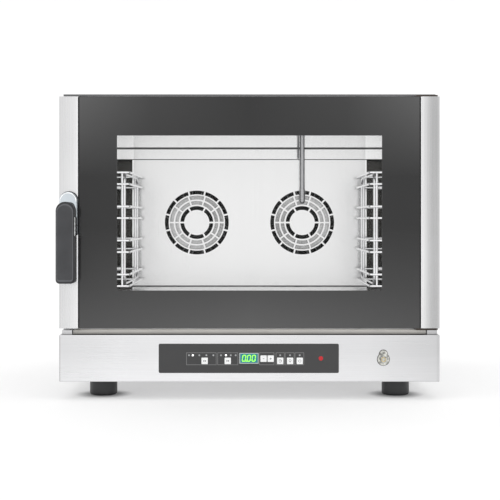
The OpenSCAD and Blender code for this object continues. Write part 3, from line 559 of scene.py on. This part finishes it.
def build_feet():
    """Plain moulded feet with a rounded rim at the floor and a slight recess under the sole."""
    lo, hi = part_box("feet")
    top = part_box("base_pan")[0].z - 0.0002
    rim = 0.005
    for i, x in enumerate((lo.x + FOOT_R, hi.x - FOOT_R)):
        for j, y in enumerate((lo.y + FOOT_R, hi.y - FOOT_R)):
            side, end = ("left", "right")[i], ("front", "rear")[j]
            bm = bmesh.new()
            profile = [(0.0005, 0.0012), (FOOT_R * 0.55, 0.0012), (FOOT_R * 0.6, 0.0)]
            profile += [(FOOT_R - rim + px, rim + pz) for px, pz in arc(rim, -90, 0, 6)]
            profile += [(FOOT_R, top - 0.0012), (FOOT_R - 0.0003, top - 0.0004), (FOOT_R - 0.0012, top),
                        (0.0005, top)]
            lathe(bm, profile, (x, y, 0), steps=64)
            names = ("feet",) if (i, j) == (0, 0) else ()
            piece(f"foot_{end}_{side}", bm, MAT["foot_rubber"], "oven", names)


# ---------------------------------------------------------------- cavity

def build_cavity():
    dressed("fan_baffle", 0.35 * MM)
    dressed("air_strip", 0.4 * MM)
    # A dark grey strip set deep in the air strip's groove: painted shade in the groove.
    lo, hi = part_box("air_strip")
    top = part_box("fan_baffle")[1].z
    bm = bmesh.new()
    slab(bm, (lo.x + 0.001, baffle_y + 0.0030, top + 0.0264), (hi.x - 0.001, baffle_y + 0.0039, top + 0.0290))
    piece("air_groove_painted_shade", bm, GROOVE_PAINTED_SHADE, "oven")
    dressed("cavity_liner", 0.5 * MM)


# ---------------------------------------------------------------- door

WINDOW_X = 0.273
WINDOW_Z0 = 0.2257
WINDOW_Z1 = 0.545


def frame_plate(bm, x0, x1, z0, z1, hx0, hx1, hz0, hz1, y0, y1):
    """A flat plate with a rectangular window in it."""
    rings = [[(x0, y, z0), (x1, y, z0), (x1, y, z1), (x0, y, z1)] for y in (y0, y1)]
    holes = [[(hx0, y, hz0), (hx1, y, hz0), (hx1, y, hz1), (hx0, y, hz1)] for y in (y0, y1)]
    outer = [[bm.verts.new(p) for p in r] for r in rings]
    inner = [[bm.verts.new(p) for p in r] for r in holes]
    for i in range(4):
        j = (i + 1) % 4
        bm.faces.new((outer[0][i], outer[0][j], inner[0][j], inner[0][i]))
        bm.faces.new((outer[1][j], outer[1][i], inner[1][i], inner[1][j]))
        bm.faces.new((outer[0][j], outer[0][i], outer[1][i], outer[1][j]))
        bm.faces.new((inner[0][i], inner[0][j], inner[1][j], inner[1][i]))


def lets_light_by(obj):
    """The studio's light falls into the cavity as if this piece weren't there, as through real glass."""
    obj.visible_shadow = False
    obj.visible_diffuse = False
    obj.visible_glossy = False


def build_stile(node, inward):
    """A stile whose front sheet curls round its edge beside the glass. Inward is +1 or -1 along X."""
    curl = 0.003
    lo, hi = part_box(node)
    edge = hi.x if inward > 0 else lo.x
    shell = dressed(node, 0.9 * MM, 3)
    near_edge, near_front = 0.0004, 0.004
    for v in shell.data.vertices:
        if abs(v.co.x - edge) < near_edge and v.co.y < lo.y + near_front:
            v.co.x = edge - inward * curl
    steps = 8
    sheet = 0.0015
    turns = [math.pi / 2 * k / steps for k in range(steps + 1)]
    outer = [(math.sin(a), 1 - math.cos(a)) for a in turns]
    ring = [(edge - inward * (curl - curl * u), lo.y + curl * v) for u, v in outer]
    small = curl - sheet
    ring += [(edge - inward * (curl - small * u), lo.y + sheet + small * v) for u, v in reversed(outer)]
    bm = bmesh.new()
    loft(bm, [[(x, y, z) for x, y in ring] for z in (lo.z + 0.0004, hi.z - 0.0004)])
    piece(node + "_curl", bm, MAT["door_steel"], "door")


def build_door():
    build_stile("door_stile_left", 1)
    build_stile("door_stile_right", -1)
    lets_light_by(dressed("door_rails", 0.4 * MM))
    dressed("glass_clips", 0.3 * MM)
    glass_lo, glass_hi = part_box("outer_glass")
    rails_lo, rails_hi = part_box("door_rails")
    lap = 0.004
    bm = bmesh.new()
    frame_plate(bm, glass_lo.x, glass_hi.x, rails_lo.z, rails_hi.z, -WINDOW_X, WINDOW_X, WINDOW_Z0, WINDOW_Z1,
                glass_lo.y, glass_lo.y + 0.002)
    border = piece("glass_border", bm, MAT["printed_glass"], "door", ("outer_glass",))
    lets_light_by(bevelled(border, 0.35 * MM, 2))
    bm = bmesh.new()
    slab(bm, (-WINDOW_X - lap, glass_lo.y + 0.0022, WINDOW_Z0 - lap),
         (WINDOW_X + lap, glass_hi.y - 0.0005, WINDOW_Z1 + lap))
    lets_light_by(piece("glass_window", bm, MAT["clear_glass"], "door"))
    bm = bmesh.new()
    slab(bm, *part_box("inner_glass"))
    inner = piece("inner_pane", bm, MAT["clear_glass"], "door", ("inner_glass",))
    lets_light_by(bevelled(inner, 0.8 * MM, 2))
    for s, side in ((-1, "left"), (1, "right")):
        bm = bmesh.new()
        xs = sorted((s * (glass_hi.x + 0.0001), s * (stile_in - 0.0001)))
        slab(bm, (xs[0], glass_lo.y + 0.0012, glass_lo.z), (xs[1], glass_hi.y, glass_hi.z))
        seal = piece(f"glazing_seal_{side}", bm, MAT["gasket_rubber"], "door")
        bevelled(seal, 0.3 * MM, 2)
    trim_t = 0.0012
    for z0, end in ((rails_hi.z - trim_t, "top"), (rails_lo.z, "bottom")):
        bm = bmesh.new()
        slab(bm, (rails_lo.x, rails_lo.y + 0.0021, z0), (rails_hi.x, rails_hi.y, z0 + trim_t))
        trim = piece(f"door_trim_{end}", bm, MAT["door_steel"], "door")
        lets_light_by(bevelled(trim, 0.3 * MM, 2))


def build_handle():
    """The polished hub with its rim and neck, a dark washer under it, and the black grip. The rim's brighter
    chrome is a painted highlight, the neck's mottling a painted reflection, and the washer also paints the
    hub's shadow.
    """
    lo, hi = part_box("handle_hub")
    grip_lo, grip_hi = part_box("handle_grip")
    front = grip_hi.y + 0.00005
    wide = (hi.x - lo.x) / 2
    centre_x = (lo.x + hi.x) / 2
    centre_z = hi.z - wide
    rim = 0.0014
    r = wide - rim
    bm = bmesh.new()
    pillow(bm, lo.x + rim, hi.x - rim, lo.z + rim, hi.z - rim, 0.006, r - 0.0001, front, hi.y - 0.001,
           0.004, 0.001)
    piece("hub_body", bm, MAT["handle_chrome"], "handle", ("handle_hub",))
    # The rim's brighter chrome is a painted highlight.
    bm = bmesh.new()
    lathe(bm, [(r - 0.0035, 0.0006), (r - 0.0030, 0.0001), (r - 0.0018, 0.0006), (r - 0.0006, 0.0020),
               (r, 0.0040), (r, 0.0060), (r - 0.0035, 0.0060)], (centre_x, front, centre_z), "Y", 64)
    piece("hub_rim_painted_highlight", bm, HUB_RIM_PAINTED_HIGHLIGHT, "handle")
    # The dark washer ring round the hub also paints the hub's shadow on the door.
    bm = bmesh.new()
    washer_t = 0.0055
    lathe(bm, [(0.002, 0.0), (wide - 0.0008, 0.0), (wide, 0.0008), (wide, washer_t - 0.0005),
               (wide - 0.0005, washer_t), (0.002, washer_t)], (centre_x, hi.y - washer_t, centre_z), "Y", 64)
    piece("hub_washer_and_painted_shadow", bm, MAT["module_plastic"], "handle")
    neck_z0, neck_z1 = centre_z - 0.072, centre_z - 0.032
    bm = bmesh.new()
    slab(bm, (lo.x + 0.0022, lo.y + 0.001, neck_z0), (hi.x - 0.001, front + 0.001, neck_z1))
    bevelled(piece("hub_neck", bm, NECK_PAINTED_REFLECTIONS, "handle"), 3 * MM, 5)
    bm = bmesh.new()
    top_r = (grip_hi.x - grip_lo.x) / 2 - 0.0001
    pillow(bm, grip_lo.x, grip_hi.x, grip_lo.z, grip_hi.z, 0.008, top_r, grip_lo.y, grip_hi.y, 0.0044, 0.0020,
           crown=0.0006, pull=2.1)
    piece("grip_body", bm, MAT["grip_plastic"], "handle", ("handle_grip",))


# ---------------------------------------------------------------- control strip

def strip_box(bm, x0, x1, z0, z1, y, t, w):
    """A thin outline box of line width w, lying on the strip at y."""
    slab(bm, (x0, y - t, z0), (x1, y, z0 + w))
    slab(bm, (x0, y - t, z1 - w), (x1, y, z1))
    slab(bm, (x0, y - t, z0 + w), (x0 + w, y, z1 - w))
    slab(bm, (x1 - w, y - t, z0 + w), (x1, y, z1 - w))


def seven_segments(bm, lit, x, z, w, h, y, t, stroke, slant=0.12):
    """The bars of one digit: lit is a string of the segment letters a to g."""
    mid = h / 2
    bars = {"a": ((0, h), (w, h)), "b": ((w, h), (w, mid)), "c": ((w, mid), (w, 0)), "d": ((0, 0), (w, 0)),
            "e": ((0, mid), (0, 0)), "f": ((0, h), (0, mid)), "g": ((0, mid), (w, mid))}
    gap = stroke * 0.12
    for letter in lit:
        (ax, az), (bx, bz) = bars[letter]
        length = math.hypot(bx - ax, bz - az)
        ux, uz = (bx - ax) / length, (bz - az) / length
        nx, nz = -uz, ux
        half = stroke / 2
        shape = [(gap, 0), (gap + half, half), (length - gap - half, half), (length - gap, 0),
                 (length - gap - half, -half), (gap + half, -half)]
        points = []
        for u, v in shape:
            px, pz = ax + ux * u + nx * v, az + uz * u + nz * v
            points.append((x + px + slant * pz, z + pz))
        loft(bm, [[(px, yy, pz) for px, pz in points] for yy in (y, y - t)])


THIN = 0.00008         # how far the print stands off the strip and the keys
PRINT_Z0 = 0.0724
PRINT_Z1 = 0.0980
PRINT_LINE = 0.0009
# Left and right ends of the printed boxes, in millimetres
PRINT_BOXES = {"mode": (-130.2, -68.2), "program": (-65.9, -23.5), "adjust": (20.2, 50.9),
               "time": (54.2, 72.1), "light": (73.1, 92.3), "start": (93.3, 112.3)}
DOT_X = 0.147


def build_controls():
    """The black strip with its printed boxes, keys, display, lamps and a plain red dot."""
    dressed("control_overlay", 0.25 * MM)
    over_lo, over_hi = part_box("control_overlay")
    face = over_lo.y
    for node in [n for n in frame["nodes"] if n.startswith("key_")]:
        lo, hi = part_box(node)
        bm = bmesh.new()
        pillow(bm, lo.x, hi.x, lo.z, hi.z, 0.0012, 0.0012, lo.y, hi.y, 0.0004, 0.0002, crown=0.0001)
        piece(node + "_cap", bm, MAT["key_white"], BODY_OF[node], (node,))
    for name, (x0, x1) in PRINT_BOXES.items():
        bm = bmesh.new()
        strip_box(bm, x0 * MM, x1 * MM, PRINT_Z0, PRINT_Z1, face, THIN, PRINT_LINE)
        piece(f"print_box_{name}", bm, PRINT_GREY, "oven")
    build_icons()
    build_display(face)
    bm = bmesh.new()
    lathe(bm, [(0.0001, -0.0003), (0.0040, -0.0003), (0.0046, -0.0001), (0.0046, 0.0002), (0.0001, 0.0002)],
          (DOT_X, face, (over_lo.z + over_hi.z) / 2), "Y", 40)
    piece("plain_red_dot", bm, PRINT_RED, "oven")
    build_leds(face)


def build_icons():
    """Small plain marks on the keys: bars on two of them, minus, plus, a clock, a lamp and a start ring."""
    ink = 0.0007

    def mark(node, draw):
        lo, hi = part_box(node)
        bm = bmesh.new()
        draw(bm, (lo.x + hi.x) / 2, (lo.z + hi.z) / 2, lo.y + 0.00002)
        piece(node + "_icon", bm, PRINT_DARK, BODY_OF[node])

    def bar(bm, x, z, w, h, y):
        slab(bm, (x - w / 2, y - THIN, z - h / 2), (x + w / 2, y, z + h / 2))

    def ring(bm, x, z, r, y, start=0, sweep=360):
        steps = 24
        half = ink / 2
        for k in range(steps):
            a, b = (math.radians(start + sweep * q / steps) for q in (k, k + 1))
            corners = ((r - half, a), (r + half, a), (r + half, b), (r - half, b))
            quad = [(x + rr * math.cos(t), z + rr * math.sin(t)) for rr, t in corners]
            loft(bm, [[(px, yy, pz) for px, pz in quad] for yy in (y, y - THIN)])

    def menu(bm, x, z, y):
        for dx in (-0.0016, 0.0016):
            bar(bm, x + dx, z, 0.0022, 0.0026, y)

    def minus(bm, x, z, y):
        bar(bm, x, z, 0.0036, 0.0009, y)

    def plus(bm, x, z, y):
        bar(bm, x, z, 0.0040, 0.0010, y)
        bar(bm, x, z + 0.00125, 0.0010, 0.0015, y)
        bar(bm, x, z - 0.00125, 0.0010, 0.0015, y)

    def clock(bm, x, z, y):
        ring(bm, x, z, 0.0028, y)
        bar(bm, x, z + 0.0008, ink, 0.0016, y)
        bar(bm, x + 0.0008, z, 0.0016, ink, y)

    def lamp(bm, x, z, y):
        ring(bm, x, z + 0.0006, 0.0022, y)
        bar(bm, x, z - 0.0024, 0.0022, 0.0009, y)

    def start(bm, x, z, y):
        ring(bm, x, z, 0.0027, y, 120, 300)
        bar(bm, x, z + 0.0020, ink, 0.0026, y)

    for node, draw in (("key_mode", menu), ("key_program", menu), ("key_minus", minus), ("key_plus", plus),
                       ("key_time", clock), ("key_light", lamp), ("key_start", start)):
        mark(node, draw)


def build_display(face):
    """The display's dark back, its pale rim, and three lit noughts with a point."""
    lo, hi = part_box("display_window")
    gap = 0.0002
    rim = 0.0012
    sunk = face + 0.0004
    bm = bmesh.new()
    slab(bm, (lo.x + gap, sunk, lo.z + gap), (hi.x - gap, hi.y, hi.z - gap))
    piece("display_back", bm, MAT["display_face"], "oven", ("display_window",))
    bm = bmesh.new()
    frame_plate(bm, lo.x, hi.x, lo.z, hi.z, lo.x + rim, hi.x - rim, lo.z + rim, hi.z - rim, face - 0.0001,
                face + 0.0005)
    piece("display_rim", bm, PRINT_PALE, "oven")
    bm = bmesh.new()
    height, width, step, stroke = 0.0122, 0.0062, 0.0100, 0.0017
    x = (lo.x + hi.x) / 2 - 0.0140
    z = (lo.z + hi.z) / 2 - height / 2
    for k in range(3):
        seven_segments(bm, "abcdef", x + k * step, z, width, height, sunk, 0.0002, stroke)
    point_x = x + width + 0.0009
    slab(bm, (point_x, face + 0.0002, z - 0.0010), (point_x + 0.0018, sunk, z + 0.0010))
    piece("display_digits", bm, GLOW_GREEN, "oven")


# Where the lamps stand along X, in millimetres, and which of them are lit
LEDS = (-124.6, -116.8, -103.4, -88.8, -74.4, -58.7, -48.6, -38.5, -28.4, 63.2, 83.4, 103.4)
LIT = (-116.8, -48.6)


def build_leds(face):
    """Twelve small lenses. Two are lit, and the others have a printed ring."""
    lo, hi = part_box("indicator_leds")
    z = (lo.z + hi.z) / 2
    for i, x in enumerate(LEDS):
        lit = x in LIT
        r = 0.0021 if lit else 0.0014
        bm = bmesh.new()
        lathe(bm, [(0.0001, -0.00022), (r * 0.5, -0.00020), (r * 0.85, -0.00008), (r, 0.0002), (r, 0.003),
                   (0.0001, 0.003)], (x * MM, face, z), "Y", 20)
        piece(f"led_{i + 1}", bm, GLOW_WHITE if lit else MAT["led_lens"], "oven",
              ("indicator_leds",) if i == 0 else ())
        if not lit:
            bm = bmesh.new()
            lathe(bm, [(0.0017, -0.0001), (0.0022, -0.0001), (0.0022, 0.0001), (0.0017, 0.0001)],
                  (x * MM, face, z), "Y", 20)
            piece(f"led_ring_{i + 1}", bm, PRINT_GREY, "oven")


def build_probe():
    """The brass jack with its chrome collar, a dark ring round the plate's outline as painted shadow, and the
    jack's throat filled black as painted shade.
    """
    lo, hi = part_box("probe_jack")
    cx, cz = (lo.x + hi.x) / 2, (lo.z + hi.z) / 2
    bm = bmesh.new()
    lathe(bm, [(0.0033, 0.0060), (0.0033, 0.0004), (0.0038, 0.0), (0.0046, 0.0), (0.0052, 0.0006),
               (0.0052, 0.0180), (0.0033, 0.0180)], (cx, lo.y, cz), "Y", 48)
    piece("jack_rim", bm, MAT["brass"], "oven", ("probe_jack",))
    bm = bmesh.new()
    lathe(bm, [(0.0054, 0.0004), (0.0066, 0.0002), (0.0074, 0.0010), (0.0074, 0.0030), (0.0054, 0.0030)],
          (cx, lo.y, cz), "Y", 48)
    piece("jack_collar", bm, MAT["socket_chrome"], "oven")
    # Dark rings just outside the plate's outline: painted shadow round its edge.
    plate_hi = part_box("probe_plate")[1]
    bm = bmesh.new()
    for z, r in ((cz, 0.0133), (plate_hi.z - 0.0085, 0.0095)):
        lathe(bm, [(0.0067, -0.0004), (r - 0.0003, -0.0004), (r, -0.0001), (r, 0.0), (0.0067, 0.0)],
              (cx, plate_hi.y, z), "Y", 48)
    piece("probe_outline_painted_shadow", bm, MAT["gasket_rubber"], "oven")
    # A black disc filling the jack's hole: painted shade inside it.
    bm = bmesh.new()
    lathe(bm, [(0.0001, 0.0050), (0.0032, 0.0050), (0.0032, 0.0120), (0.0001, 0.0120)],
          (cx, lo.y, cz), "Y", 32)
    piece("jack_throat", bm, HOLE_PAINTED_SHADE, "oven")


# ---------------------------------------------------------------- the CAD pieces' own materials

def dress_cad():
    """Gives every CAD node the material of its slot. Those that no piece replaces are shown as they are."""
    for name, obj in frame["nodes"].items():
        obj.data.materials.clear()
        obj.data.materials.append(MAT[SLOT_OF[name]])


# ---------------------------------------------------------------- stage, lights, camera

def build_stage():
    """A pale floor that sweeps up behind the oven. It glows faintly, and less round the feet, where the drop
    in glow paints contact shadows.
    """
    half_floor, front_end, sweep_start, sweep_r, wall_top = 7.0, -6.0, 3.2, 1.2, 6.0
    mesh = bpy.data.meshes.new("floor")
    bm = bmesh.new()
    profile = [(front_end, 0.0), (sweep_start, 0.0)]
    profile += [(sweep_start + y, sweep_r + z) for y, z in arc(sweep_r, -80, 0, 8)]
    profile += [(sweep_start + sweep_r, wall_top)]
    rows = [[bm.verts.new((x, y, z)) for x in (-half_floor, half_floor)] for y, z in profile]
    for a, b in zip(rows, rows[1:]):
        bm.faces.new((a[0], a[1], b[1], b[0]))
    bm.to_mesh(mesh)
    bm.free()
    floor = bpy.data.objects.new("floor", mesh)
    bpy.context.scene.collection.objects.link(floor)
    mat, tree, shader = new_material("floor_white")
    cloud = stretched_noise(tree, (1.5, 1.5, 1.5), detail=2)
    tree.links.new(tinted(tree, cloud, (0.61, 0.61, 0.61), (0.64, 0.64, 0.64)), shader.inputs["Base Color"])
    shader.inputs["Emission Color"].default_value = WHITE
    foot_lo, foot_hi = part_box("feet")
    here = add(tree, "ShaderNodeTexCoord").outputs["Object"]
    near = None
    for x in (foot_lo.x + FOOT_R, foot_hi.x - FOOT_R):
        for y in (foot_lo.y + FOOT_R, foot_hi.y - FOOT_R):
            gap = add(tree, "ShaderNodeVectorMath", {0: here, 1: (x, y, 0)}, operation="DISTANCE")
            away = gap.outputs["Value"]
            if near is None:
                near = away
            else:
                near = add(tree, "ShaderNodeMath", {0: near, 1: away}, operation="MINIMUM").outputs[0]
    # The floor's glow drops close round each foot: painted contact shadows.
    glow_in_painted_shadow, glow_far, reach = 0.04, 0.39, 0.040
    glow = add(tree, "ShaderNodeMapRange", {"Value": near, "From Min": FOOT_R, "From Max": FOOT_R + reach,
                                            "To Min": glow_in_painted_shadow, "To Max": glow_far},
               interpolation_type="SMOOTHSTEP")
    tree.links.new(glow.outputs["Result"], shader.inputs["Emission Strength"])
    shader.inputs["Roughness"].default_value = 0.9
    shader.inputs["Specular IOR Level"].default_value = 0.1
    mesh.materials.append(mat)
    mesh.polygons.foreach_set("use_smooth", [True] * len(mesh.polygons))


def area_light(name, place, target, size, power):
    """A square soft light that points at a target."""
    data = bpy.data.lights.new(name, "AREA")
    data.shape = "RECTANGLE"
    data.size = size
    data.size_y = size
    data.energy = power
    obj = bpy.data.objects.new(name, data)
    obj.location = place
    obj.rotation_mode = "QUATERNION"
    obj.rotation_quaternion = (Vector(target) - Vector(place)).to_track_quat("-Z", "Y")
    bpy.context.scene.collection.objects.link(obj)


def build_light():
    """A plain white world with three weak soft lights."""
    world = bpy.data.worlds.new("studio")
    bpy.context.scene.world = world
    world.use_nodes = True
    tree = world.node_tree
    background = next(n for n in tree.nodes if n.type == "BACKGROUND")
    background.inputs["Color"].default_value = WHITE
    background.inputs["Strength"].default_value = 1.0
    middle = (0, 0, 0.3)
    area_light("top", (0, -0.6, 3.2), middle, 2.6, 8)
    area_light("left", (-2.6, -2.2, 1.8), middle, 1.4, 3)
    area_light("right", (2.8, -1.8, 1.4), middle, 1.2, 2)


def build_camera():
    """Straight in front of the door's middle. The field is the width seen at the panel's front."""
    distance, field, eye_z = 2.4, 1.030, 0.373
    scene = bpy.context.scene
    cam = bpy.data.cameras.new("camera")
    cam.sensor_width = 36
    cam.lens = cam.sensor_width * distance / field
    cam.shift_x = 0.001
    cam.shift_y = -0.062
    obj = bpy.data.objects.new("camera", cam)
    obj.location = (0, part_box("control_panel")[0].y - distance, eye_z)
    obj.rotation_euler = (math.radians(90), 0, 0)
    scene.collection.objects.link(obj)
    scene.camera = obj
    scene.view_settings.view_transform = "Standard"
    scene.view_settings.look = "None"


dress_cad()
build_casing()
build_feet()
build_cavity()
build_door()
build_handle()
build_controls()
build_probe()
build_stage()
build_light()
build_camera()
